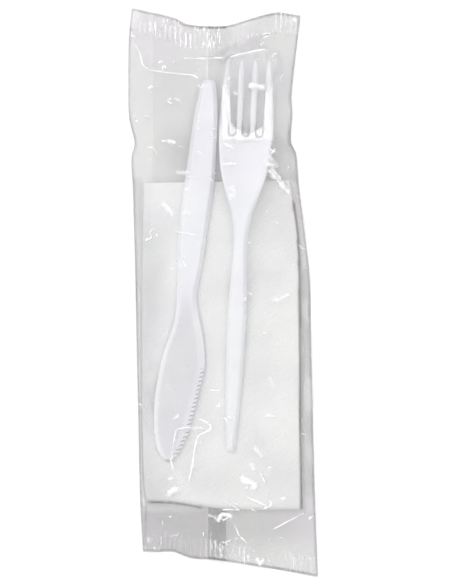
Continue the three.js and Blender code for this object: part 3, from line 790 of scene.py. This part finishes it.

# Painted highlights, as white streaks on the film: points, half width and strength.
GLARES = [
    # spots over the fork and beside it
    ([(12.6, 94.5), (15, 94.1), (18.2, 93.6)], 1.3, 1.0),
    ([(5.1, 91.2), (6.2, 90.7)], 0.8, 0.6),
    ([(21.6, 61.5), (24, 57.8)], 1.8, 0.45),
    ([(20.6, 58.6), (22.8, 57.8)], 1.3, 0.8),
    ([(22.2, 55.4), (24.6, 52.6)], 2.1, 0.9),
    ([(24, 53.4), (26.4, 50.2), (29.8, 46.2)], 1.3, 0.95),
    ([(0.4, 58.9), (5.2, 58.6)], 0.9, 0.7),
    ([(1, 67.6), (4.2, 66.2)], 0.9, 0.6),
    ([(4.2, 47.5), (5.5, 45), (3.6, 43.6)], 1.7, 0.3),
    # over the knife and the napkin's left side
    ([(-25, 69.2), (-22.5, 68.6)], 1.1, 0.8),
    ([(-20.8, 55), (-15.5, 54.6)], 1.3, 0.35),
    ([(-27.6, 40.2), (-25.2, 38.6), (-23.4, 36.2)], 1.5, 0.4),
    ([(-18, 36.4), (-16, 36.2)], 1.1, 0.35),
    # the lower right and the lower left
    ([(9.2, -85.4), (12.5, -86.8), (14.5, -88.2)], 2.2, 0.75),
    ([(13.2, -78.5), (14.1, -80.6)], 1.4, 0.4),
    ([(-24.6, -91.6), (-21.4, -89.8)], 2.0, 0.65),
    ([(-24.2, -85.2), (-23.6, -85.2)], 1.0, 0.7),
    ([(27.4, -94.3), (28, -94.3)], 1.2, 0.7),
    ([(20, -56), (22.8, -56.8)], 1.1, 0.35),
    ([(14.4, -70.6), (17.6, -74.6)], 1.3, 0.35),
    ([(-6.2, -101.9), (-3.4, -103)], 0.8, 0.5),
    ([(-2.2, -104), (-0.8, -101.4), (3.4, -102.2)], 1.3, 0.9),
    ([(15.8, -122.2), (16.8, -124.2), (18.2, -122.6)], 1.1, 0.8),
    ([(21.5, -39), (22.8, -42)], 1.2, 0.2),
    ([(24.6, -3.4), (27, -2.2), (29.4, -0.8)], 1.1, 0.45),
    ([(-35.5, -32), (-33, -40)], 3.4, 0.1),
    ([(-35.5, -50), (-32, -60)], 3.0, 0.08),
    ([(-20, -83), (-17, -92)], 3.2, 0.1),
]


def front_film(u, v):
    """The front film's points, and its looks at each of them."""
    x, y = film_place(u, v)
    for points, _, _ in CREASES + SHADES:
        snap_to_crease(x, y, points)
    low, high = seal_share(u, v)
    sealed = low + high
    edge = np.minimum(np.arange(FRONT_COLUMNS), np.arange(FRONT_COLUMNS)[::-1])[None, :]
    pressed = low * seal_height(u, False) + high * seal_height(u, True)
    fixed = np.where(sealed > 0.5, pressed, side_height(v) + 0 * u)
    least = spread(contents_top(x, y), 1) + CLEARANCE
    z = stretched(fixed, (sealed < 0.5) & (edge > 0), least, ROUNDS, SLACK)
    wave = 0.1 * ripple(x, y, 16, 1) + 0.02 * ripple(x, y, 6, 2)
    z = z + (1 - sealed) * wave * smooth(edge, 0, 6)
    # it is drawn down over the fork's tines
    off_x = np.maximum(np.abs(x - FORK_HEAD[0]) - 5, 0)
    off_y = np.maximum(np.abs(y - FORK_HEAD[1]) - 10, 0)
    z = z - 0.8 * (1 - smooth(np.hypot(off_x, off_y), 0, 10))
    creased = np.zeros(x.shape)
    for points, height, width in CREASES:
        add_crease(z, creased, x, y, points, 0.6 * height, 0.8 * width)
    for middle, radii, height, turn in SWELLS:
        add_swell(z, x, y, middle, radii, height, turn)
    # painted highlights: a wide U round the fork's slots, and white streaks
    painted_light = np.clip(0.7 * slot_glare(x, y), 0, 1)
    for points, width, strength in GLARES:
        best = add_glare(painted_light, x, y, points, width, strength)
        z = z + 0.3 * strength * width * (1 - smooth(best, 0, 1.25 * width))
    # painted light: two strips made lighter, down the upper left and down the right of the napkin
    painted_light = np.maximum(painted_light, 0.1 * smooth(-x, 31.3, 32.8) * smooth(y, 40, 60))
    beside = smooth(x - napkin_right(y), 1.2, 2.0) * smooth(y, -100, -90) * (1 - smooth(y, 20, 50))
    painted_light = np.maximum(painted_light, 0.13 * beside)
    # painted shadow along these lines, with the painted light taken off them
    turned = np.zeros(x.shape)
    for points, width, strength in SHADES:
        best, _, _, ends, _ = nearest_on(x, y, points)
        turned = np.maximum(turned, strength * (1 - smooth(best, 0.15, width)) * smooth(ends, -2, 3))
    painted_light = painted_light * (1 - np.clip(1.8 * turned, 0, 1))
    bites = []
    for kind in TOP_BITES:
        at_top = bite(x, top_edge(u) - y, TOP_BITES[kind])
        bites.append(np.where(v > 0.5, at_top, bite(x, y - bottom_edge(u), LOW_BITES[kind])))
    rib = crimp(x, y) * sealed
    z = np.where(sealed > 0.5, np.maximum(z + rib, 0.35), np.maximum(z, least - 0.05))
    return x, y, z, np.array([creased, painted_light, turned, *bites])


def side_height(v):
    """How high the folds down the pack's two sides stand."""
    return 0.9 + 0.4 * np.sin(v * 23) + 0.3 * np.sin(v * 61 + 1)


def film_ring(v, side_z, front, looks):
    """One ring along the middle of the film: from the fin across the back, round the
    right side, over the front, round the left side and along the fin's other ply. Each
    point is x, z, y and its looks."""
    mid_y = float(lerp(bottom_edge(0.5), top_edge(0.5), v))
    left_x, right_x = float(film_left(mid_y)), float(film_right(mid_y))
    ring = []

    def y_of(x):
        u = (x - left_x) / (right_x - left_x)
        return lerp(bottom_edge(u), top_edge(u), v)

    def back_z(x):
        """Height of the back film: on the table, up to the side folds, and against
        the front film in the seals."""
        u = float(np.clip((x - left_x) / (right_x - left_x), 0, 1))
        low, high = seal_share(u, v)
        seal_z = float(seal_height(u, v > 0.5))
        if low + high > 0.5:
            return max(seal_z + float(crimp(x, y_of(x))), FILM_PLY) - SEAL_GAP
        from_side = min(x - left_x, right_x - x)
        rise = float(side_z) * (1 - float(smooth(from_side, 0, SIDE_FOLD)))
        base = FILM_PLY + rise * (1 - low - high)
        length = float(top_edge(u) - bottom_edge(u))
        depth, run = SEAL_DEPTH / length, SEAL_RUN / length
        near_low = 1 - float(smooth(v, depth, depth + run))
        near_high = float(smooth(v, 1 - depth - run, 1 - depth))
        return max(lerp(base, seal_z, max(near_low, near_high)), FILM_PLY)

    def add(x, z, y, point_looks=(0.0,) * len(LOOKS)):
        ring.append((float(x), float(z), float(y), *point_looks))

    def add_back(xs, sunk=0.0, lifted=0.0):
        for x in xs:
            add(x, max(back_z(x) - sunk, FILM_PLY) + lifted, y_of(x))

    def side_fold(u, front_z, inward):
        """Four points round one side, from the back to the front."""
        x, y = film_place(u, v)
        low_z = back_z(float(x) + 0.3 * inward)
        edge_z = 0.5 * (max(low_z, FILM_PLY) + front_z)
        return [
            (x + 1.6 * inward, back_z(float(x) + 1.6 * inward), y),
            (x + 0.35 * inward, lerp(low_z, edge_z, 0.45), y),
            (x, edge_z, y),
            (x + 0.12 * inward, lerp(edge_z, front_z, 0.6), y),
        ]

    front_x, front_y, front_z = front
    low, high = seal_share(0.5, v)
    sunk = FIN_GAP if low + high > 0.5 else 0
    add_back((FIN_FREE_X, FIN_MIDDLE_X, FIN_BASE_X), sunk)
    add_back(range(5, 31, 5))
    for point in side_fold(1.0, front_z[-1], -1):
        add(*point)
    for i in range(FRONT_COLUMNS - 1, -1, -1):
        add(front_x[i], front_z[i], front_y[i], looks[:, i])
    for point in reversed(side_fold(0.0, front_z[0], 1)):
        add(*point)
    add_back((-34, -28, -22, -16, -11, FIN_FREE_X - 1.4))
    add_back((FIN_FREE_X - 0.3, FIN_MIDDLE_X, FIN_BASE_X - 0.06), lifted=FIN_GAP)
    add(FIN_BASE_X + 0.02, max(back_z(FIN_BASE_X), FILM_PLY) + 0.75 * FIN_GAP, y_of(FIN_BASE_X + 0.02))
    add_back((FIN_BASE_X - 0.06, FIN_MIDDLE_X, FIN_FREE_X), sunk, 0.5 * FIN_GAP)
    return ring


def unit(d):
    return d / np.maximum(np.linalg.norm(d, axis=2, keepdims=True), 1e-6)


def both_sides(values):
    """Values along the middle of the film, out along one side and home along the other."""
    return np.concatenate([values, values[:, ::-1]], 1)


def film_shell(mid):
    """Points of the film's two sides, from rings along its middle."""
    flat = mid[:, :, :2]
    before = np.diff(flat, axis=1, prepend=flat[:, :1] * 2 - flat[:, 1:2])
    after = np.diff(flat, axis=1, append=flat[:, -1:] * 2 - flat[:, -2:-1])
    along = unit(unit(before) + unit(after))
    off = np.stack([-along[:, :, 1], along[:, :, 0]], -1) * FILM_PLY
    one, two = (
        np.stack([mid[..., 0] + side * off[..., 0], mid[..., 2], mid[..., 1] + side * off[..., 1]], -1)
        for side in (1, -1)
    )
    return np.concatenate([one, two[:, ::-1]], 1)


def film_rim_and_shade(x, y):
    """How much darker the film is: where the fin's flap doubles it in the bottom seal, and, as painted
    shade, at its cut ends, its side folds and in patches."""
    # painted shade along the cut ends and the side folds
    ends = np.minimum(np.arange(STATIONS), np.arange(STATIONS)[::-1])[:, None]
    rim = np.where(ends < 2, 1.0, 0.0) + np.zeros(x.shape[1])
    at_side = np.zeros(x.shape[1])
    at_side[RIGHT_SIDE] = 0.9
    at_side[LEFT_SIDE] = 0.9
    rim = np.maximum(rim, at_side)
    rim = np.maximum(rim, 0.38 * smooth(-x, 6, 8) * smooth(-y, 98, 102))
    for (dim_x, dim_y), (wide, tall), strength in PAINTED_SHADE_PATCHES:
        rim = np.maximum(rim, strength * np.exp(-((x - dim_x) / wide) ** 2 - ((y - dim_y) / tall) ** 2))
    return rim


def build_film():
    """A sheet of film, folded into a tube with a fin down its back and sealed across
    both ends: a thin closed shell round rings along the sheet's middle."""
    u = np.linspace(SIDE_SHARE, 1 - SIDE_SHARE, FRONT_COLUMNS)[None, :]
    v = np.linspace(0, 1, STATIONS)[:, None]
    x, y, z, looks = front_film(u, v)
    side_z = side_height(v)
    mid = np.array([
        film_ring(float(v[j, 0]), side_z[j, 0], (x[j], y[j], z[j]), looks[:, j]) for j in range(STATIONS)
    ])
    points = film_shell(mid)
    film = make_mesh("film_tube", points, ring_faces(*points.shape[:2]))
    film.data.set_sharp_from_angle(angle=math.radians(12))
    mid_x, mid_y = mid[..., 0], mid[..., 2]
    in_fin = np.arange(mid.shape[1]) >= mid.shape[1] - FIN_POINTS
    set_attribute(film, "welded", both_sides(in_fin * smooth(mid_y, -96, 50)))
    set_attribute(film, "rim", both_sides(film_rim_and_shade(mid_x, mid_y)))
    for k, name in enumerate(LOOKS, 3):
        set_attribute(film, name, both_sides(mid[..., k]))
    return film


# ------------------------------------------------------------------ materials
WHITE = (1, 1, 1, 1)
PLASTIC_DARK = (0.84, 0.845, 0.885, 1)
PLASTIC_PALE = (0.91, 0.915, 0.95, 1)
PLASTIC_THIN = (0.87, 0.87, 0.86, 1)
# painted shade for the saw's grooves and under the knife's tip
PLASTIC_PAINTED_SHADE = (0.36, 0.31, 0.30, 1)
# painted shade for the tissue's embossed pits
TISSUE_PIT_SHADE = (0.845, 0.845, 0.845, 1)
TISSUE_PALE = (0.91, 0.91, 0.905, 1)
TISSUE_CLOUD = (0.925, 0.925, 0.93, 1)
# painted shade for the napkin's folded side
TISSUE_FOLD_SHADE = (0.82, 0.82, 0.83, 1)
FILM_CLEAR = (0.947, 0.943, 0.947, 1)
FILM_CLOUD = (0.943, 0.945, 0.942, 1)
FILM_EDGE_ON = (0.86, 0.855, 0.86, 1)
FILM_WELDED = (0.992, 0.992, 0.992, 1)
# darker film: doubled plies, and painted shade at its edges and in patches
FILM_RIM_AND_SHADE = (0.83, 0.826, 0.83, 1)
# painted shadow along lines where the film turns down
FILM_PAINTED_SHADOW = (0.62, 0.60, 0.60, 1)
# partly bruised film, partly painted highlight
FILM_BRUISE_AND_HIGHLIGHT = (0.97, 0.97, 0.98, 1)
CREASE_GLOSS = 4.0
CREASE_WHITE = 0.85
# A wave texture of scale 1 has its bands this far apart.
WAVE_LENGTH = 0.314


class Nodes:
    """The nodes of one material or world. Each call makes a node, wires it and gives
    back one of its outputs. An input is a plain value or another node's output."""

    def __init__(self, tree):
        self.tree = tree
        tree.nodes.clear()

    def add(self, kind, output, inputs, **settings):
        node = self.tree.nodes.new("ShaderNode" + kind)
        for name, value in settings.items():
            setattr(node, name, value)
        for key, value in inputs.items():
            if isinstance(value, bpy.types.NodeSocket):
                self.tree.links.new(value, node.inputs[key])
            else:
                node.inputs[key].default_value = value
        return node.outputs[output] if output else None

    def where(self):
        return self.add("TexCoord", "Object", {})

    def attribute(self, name):
        return self.add("Attribute", "Fac", {}, attribute_name=name)

    def noise(self, where, scale, detail):
        return self.add("TexNoise", "Fac", {"Vector": where, "Scale": scale, "Detail": detail})

    def math(self, operation, *values, **settings):
        return self.add("Math", "Value", dict(enumerate(values)), operation=operation, **settings)

    def between(self, value, low, high):
        """0 at low and 1 at high."""
        return self.add("MapRange", "Result", {"Value": value, "From Min": low, "From Max": high})

    def mix(self, share, one, two, blend="MIX"):
        return self.add("MixRGB", "Color", {"Fac": share, "Color1": one, "Color2": two}, blend_type=blend)

    def tint(self, share, colour, tint):
        return self.mix(share, colour, tint, "MULTIPLY")

    def ramp(self, value, *stops):
        """A colour that runs between two stops, each a position and a colour."""
        colour = self.add("ValToRGB", "Color", {"Fac": value})
        for element, (position, shade) in zip(colour.node.color_ramp.elements, stops):
            element.position, element.color = position, shade
        return colour

    def bump(self, height, strength, distance):
        return self.add("Bump", "Normal", {"Height": height, "Strength": strength, "Distance": distance})

    def blend(self, share, one, two):
        return self.add("MixShader", "Shader", {"Fac": share, 1: one, 2: two})

    def surface(self, shader):
        self.add("OutputMaterial", None, {"Surface": shader})


def new_material(name):
    material = bpy.data.materials.new(name)
    material.use_nodes = True
    return material, Nodes(material.node_tree)


def plastic(name, seed):
    """Glossy white polystyrene, slightly cloudy and with a faint grain."""
    material, nodes = new_material(name)
    where = nodes.where()
    colour = nodes.ramp(nodes.noise(where, 60 + seed, 4), (0.3, PLASTIC_DARK), (0.7, PLASTIC_PALE))
    # thinner walls let more light through, and look greyer
    colour = nodes.tint(nodes.attribute("thin"), colour, PLASTIC_THIN)
    # painted shade: the grooves between the saw teeth, and the knife's tip, are painted darker for the
    # shade in the grooves and the shadow under the tip
    colour = nodes.tint(nodes.attribute("cut"), colour, PLASTIC_PAINTED_SHADE)
    nodes.surface(nodes.add("BsdfPrincipled", "BSDF", {
        "Base Color": colour,
        "Roughness": 0.33,
        "IOR": 1.57,
        "Subsurface Weight": 0.5,
        "Subsurface Radius": (1, 1, 1.1),
        "Subsurface Scale": 0.002,
        "Normal": nodes.bump(nodes.noise(where, 900, 3), 0.12, 0.00003),
    }))
    return material


def tissue():
    """Matt paper tissue, embossed with streaks that cross."""
    material, nodes = new_material("tissue_embossed")
    where = nodes.where()
    streaks = []
    for turn in (45, -45):
        turned = nodes.add("Mapping", "Vector", {"Vector": where, "Rotation": (0, 0, math.radians(turn))})
        streaks.append(nodes.add("TexWave", "Fac", {
            "Vector": turned, "Scale": 260, "Distortion": 4, "Detail": 2,
        }))
    # the streaks one way are stronger than those the other way
    weaker = nodes.math("MULTIPLY_ADD", streaks[1], 0.45, 0.45)
    crossed = nodes.math("MULTIPLY", streaks[0], weaker)
    embossed = nodes.math("MULTIPLY_ADD", nodes.noise(where, 1500, 5), 0.35, crossed)
    # painted shade: the embossed pits are painted darker than the raised streaks
    colour = nodes.ramp(embossed, (0.1, TISSUE_PIT_SHADE), (0.8, TISSUE_PALE))
    # soft clouds in the sheet, and painted shade down the folded left side
    clouds = nodes.ramp(nodes.noise(where, 45, 2), (0.35, TISSUE_CLOUD), (0.62, WHITE))
    colour = nodes.tint(1, colour, clouds)
    colour = nodes.tint(nodes.attribute("shaded"), colour, TISSUE_FOLD_SHADE)
    nodes.surface(nodes.add("BsdfPrincipled", "BSDF", {
        "Base Color": colour,
        "Roughness": 0.95,
        "Specular IOR Level": 0.2,
        "Normal": nodes.bump(embossed, 0.35, 0.0002),
    }))
    return material


def seal_strokes(nodes, where):
    """White strokes on the film, partly the whitening of pressed and crinkled film and partly painted
    highlights: a pressed seal's even ribs, crowded scratches and dots, and fine crinkles scattered
    everywhere."""
    def stretched_noise(across, along, detail=2.0):
        scaled = nodes.add("Mapping", "Vector", {"Vector": where, "Scale": (across, along, 1)})
        return nodes.noise(scaled, 1, detail)

    def both(one, two):
        return nodes.math("MULTIPLY", one, two)

    # each rib is broken off at its own length
    ribs = nodes.add("TexWave", "Fac", {
        "Vector": where, "Scale": WAVE_LENGTH / (RIB_PITCH * MM), "Distortion": 1.2, "Detail Scale": 1.5,
    })
    broken = nodes.between(stretched_noise(500, 180), 0.36, 0.5)
    combed = both(both(nodes.between(ribs, 0.6, 0.95), broken), nodes.attribute("combed"))
    # crowded strokes, longer than they are wide
    strokes = nodes.between(stretched_noise(1500, 260, 3.0), 0.53, 0.62)
    scratched = both(strokes, nodes.attribute("scratched"))
    # dots of many sizes
    cells = nodes.add("TexVoronoi", "Distance", {"Vector": where, "Scale": 720, "Randomness": 0.8})
    some = nodes.between(stretched_noise(420, 420), 0.46, 0.58)
    dotted = both(both(nodes.between(cells, 0.34, 0.1), some), nodes.attribute("dotted"))
    # a crinkle runs where the noise crosses its middle value, in a few patches
    off_middle = nodes.math("ABSOLUTE", nodes.math("SUBTRACT", stretched_noise(90, 90, 2.5), 0.5))
    patches = nodes.between(stretched_noise(130, 130), 0.6, 0.65)
    crinkles = both(nodes.between(off_middle, 0.009, 0.002), patches)
    pressed = nodes.math("MAXIMUM", nodes.math("MAXIMUM", combed, scratched), dotted)
    return nodes.math("MAXIMUM", pressed, crinkles)


def clear_film():
    """Clear film: transparent with a mirror gloss, and whiter and glossier where creases and seals bruise
    it and where highlights are painted on it.
    """
    material, nodes = new_material("clear_film")
    where = nodes.where()
    pucker = nodes.bump(nodes.noise(where, 260, 4), 0.25, 0.00006)

    cloud = nodes.between(nodes.noise(where, 38, 3), 0.38, 0.6)
    colour = nodes.mix(cloud, FILM_CLEAR, FILM_CLOUD)
    # seen edge on, light crosses more of the film, so a fold's rim is darker
    facing = nodes.add("LayerWeight", "Facing", {"Blend": 0.5})
    colour = nodes.mix(nodes.between(facing, 0.35, 0.92), colour, FILM_EDGE_ON)
    # less light is lost between the fin's welded plies. The film is darker where the fin's flap doubles it,
    # with painted shade at its cut ends, side folds and in patches, and with painted shadow along lines
    # beside the napkin and round the fork's slots
    for name, tint in (("welded", FILM_WELDED), ("rim", FILM_RIM_AND_SHADE), ("turned", FILM_PAINTED_SHADOW)):
        colour = nodes.mix(nodes.attribute(name), colour, tint)
    clear = nodes.add("BsdfTransparent", "BSDF", {"Color": colour})

    # a film this thin mirrors as one surface: the outer side of each wall does it for both
    inner_side = nodes.add("NewGeometry", "Backfacing", {})
    twice = nodes.math("MULTIPLY_ADD", inner_side, -2, 2)
    fresnel = nodes.add("Fresnel", "Fac", {"IOR": 1.5, "Normal": pucker})
    mirror = nodes.math("MULTIPLY", fresnel, twice)
    # a sharp crease bruises the film, which goes whiter and catches more light. The crease lines and seal
    # strokes are partly that bruising and partly painted highlight, and the streaks of painted light are
    # wholly painted highlight; all are made whiter and glossier here
    crest = nodes.between(nodes.attribute("creased"), 0.35, 0.95)
    pressed = nodes.math("MAXIMUM", nodes.attribute("painted_light"), seal_strokes(nodes, where))
    bruise_and_highlight = nodes.math("MAXIMUM", crest, pressed)
    boost = nodes.math("MULTIPLY_ADD", bruise_and_highlight, CREASE_GLOSS, 1)
    mirrored = nodes.math("MULTIPLY", mirror, boost, use_clamp=True)
    gloss = nodes.add("BsdfGlossy", "BSDF", {"Roughness": 0.12, "Color": WHITE, "Normal": pucker})
    once = nodes.math("MULTIPLY_ADD", inner_side, -CREASE_WHITE, CREASE_WHITE)
    whitened = nodes.math("MULTIPLY", bruise_and_highlight, once)
    white = nodes.add("BsdfDiffuse", "BSDF", {"Color": FILM_BRUISE_AND_HIGHLIGHT})
    nodes.surface(nodes.blend(whitened, nodes.blend(mirrored, clear, gloss), white))
    return material


# ------------------------------------------------------------------ the pack
knife = build_knife()
fork = build_fork()
napkin = build_napkin()
film = build_film()

for piece, node, slot, material in (
    (knife, "knife", "knife_plastic", plastic("knife_polystyrene", 0)),
    (fork, "fork", "fork_plastic", plastic("fork_polystyrene", 7)),
    (napkin, "napkin", "tissue", tissue()),
    (film, "film_wrapper", "film", clear_film()),
):
    piece.data.materials.clear()
    piece.data.materials.append(material)
    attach(piece, "root")
    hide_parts(node)


# ------------------------------------------------------------------ stage
# Half the floor's width, the height of the picture at the pack, the camera's distance,
# the sensor's width in millimetres, and the levels of the light.
FLOOR = 1.5
FRAME_H = 0.2669
DISTANCE = 1.2
SENSOR = 36
KEY_POWER = 2.4
SKY = 1.28
LOW_SKY = 0.42


def area_light(name, place_at, aim, size, power):
    data = bpy.data.lights.new(name, "AREA")
    data.shape = "RECTANGLE"
    data.size, data.size_y = size
    data.energy = power
    obj = bpy.data.objects.new(name, data)
    bpy.context.scene.collection.objects.link(obj)
    at = Vector(place_at)
    obj.location = at
    obj.rotation_euler = (Vector(aim) - at).to_track_quat("-Z", "Y").to_euler()
    return obj


floor_mesh = bpy.data.meshes.new("floor")
floor_corners = [(-FLOOR, -FLOOR, 0), (FLOOR, -FLOOR, 0), (FLOOR, FLOOR, 0), (-FLOOR, FLOOR, 0)]
floor_mesh.from_pydata(floor_corners, [], [(0, 1, 2, 3)])
floor = bpy.data.objects.new("floor", floor_mesh)
bpy.context.scene.collection.objects.link(floor)
floor.location.z = -0.0002
floor_white, floor_nodes = new_material("floor_white")
floor_nodes.surface(floor_nodes.add("BsdfDiffuse", "BSDF", {"Color": (0.97, 0.97, 0.97, 1)}))
floor_mesh.materials.append(floor_white)

key = area_light("key", (-0.75, 0.53, 0.77), (0, 0, 0), (0.55, 0.55), KEY_POWER)
key.visible_glossy = False

# a studio tent: bright from the horizon to overhead, dimmer below it, and brighter at
# the upper left
world = bpy.data.worlds.new("studio")
world.use_nodes = True
sky = Nodes(world.node_tree)
towards = sky.add("TexCoord", "Generated", {})
up = sky.add("SeparateXYZ", "Z", {"Vector": towards})
band = sky.ramp(up, (0.36, (LOW_SKY,) * 3 + (1,)), (0.44, WHITE))
lean = sky.add("VectorMath", "Value", {0: towards, 1: (-0.12, 0.12, 0)}, operation="DOT_PRODUCT")
strength = sky.math("MULTIPLY", sky.math("ADD", lean, 1), SKY)
background = sky.add("Background", "Background", {"Color": band, "Strength": strength})
sky.add("OutputWorld", None, {"Surface": background})
bpy.context.scene.world = world

scene = bpy.context.scene
scene.view_settings.view_transform = "Standard"
scene.cycles.transparent_max_bounces = 32
scene.cycles.max_bounces = 16
scene.cycles.diffuse_bounces = 10

camera_data = bpy.data.cameras.new("camera")
camera_data.sensor_width = SENSOR
camera_data.lens = DISTANCE * SENSOR / FRAME_H
camera_data.clip_start = 0.05
camera_data.clip_end = 10
camera = bpy.data.objects.new("camera", camera_data)
scene.collection.objects.link(camera)
camera.location = (0.0013, 0.0003, DISTANCE + 0.004)
camera.rotation_euler = (0, 0, 0)
scene.camera = camera
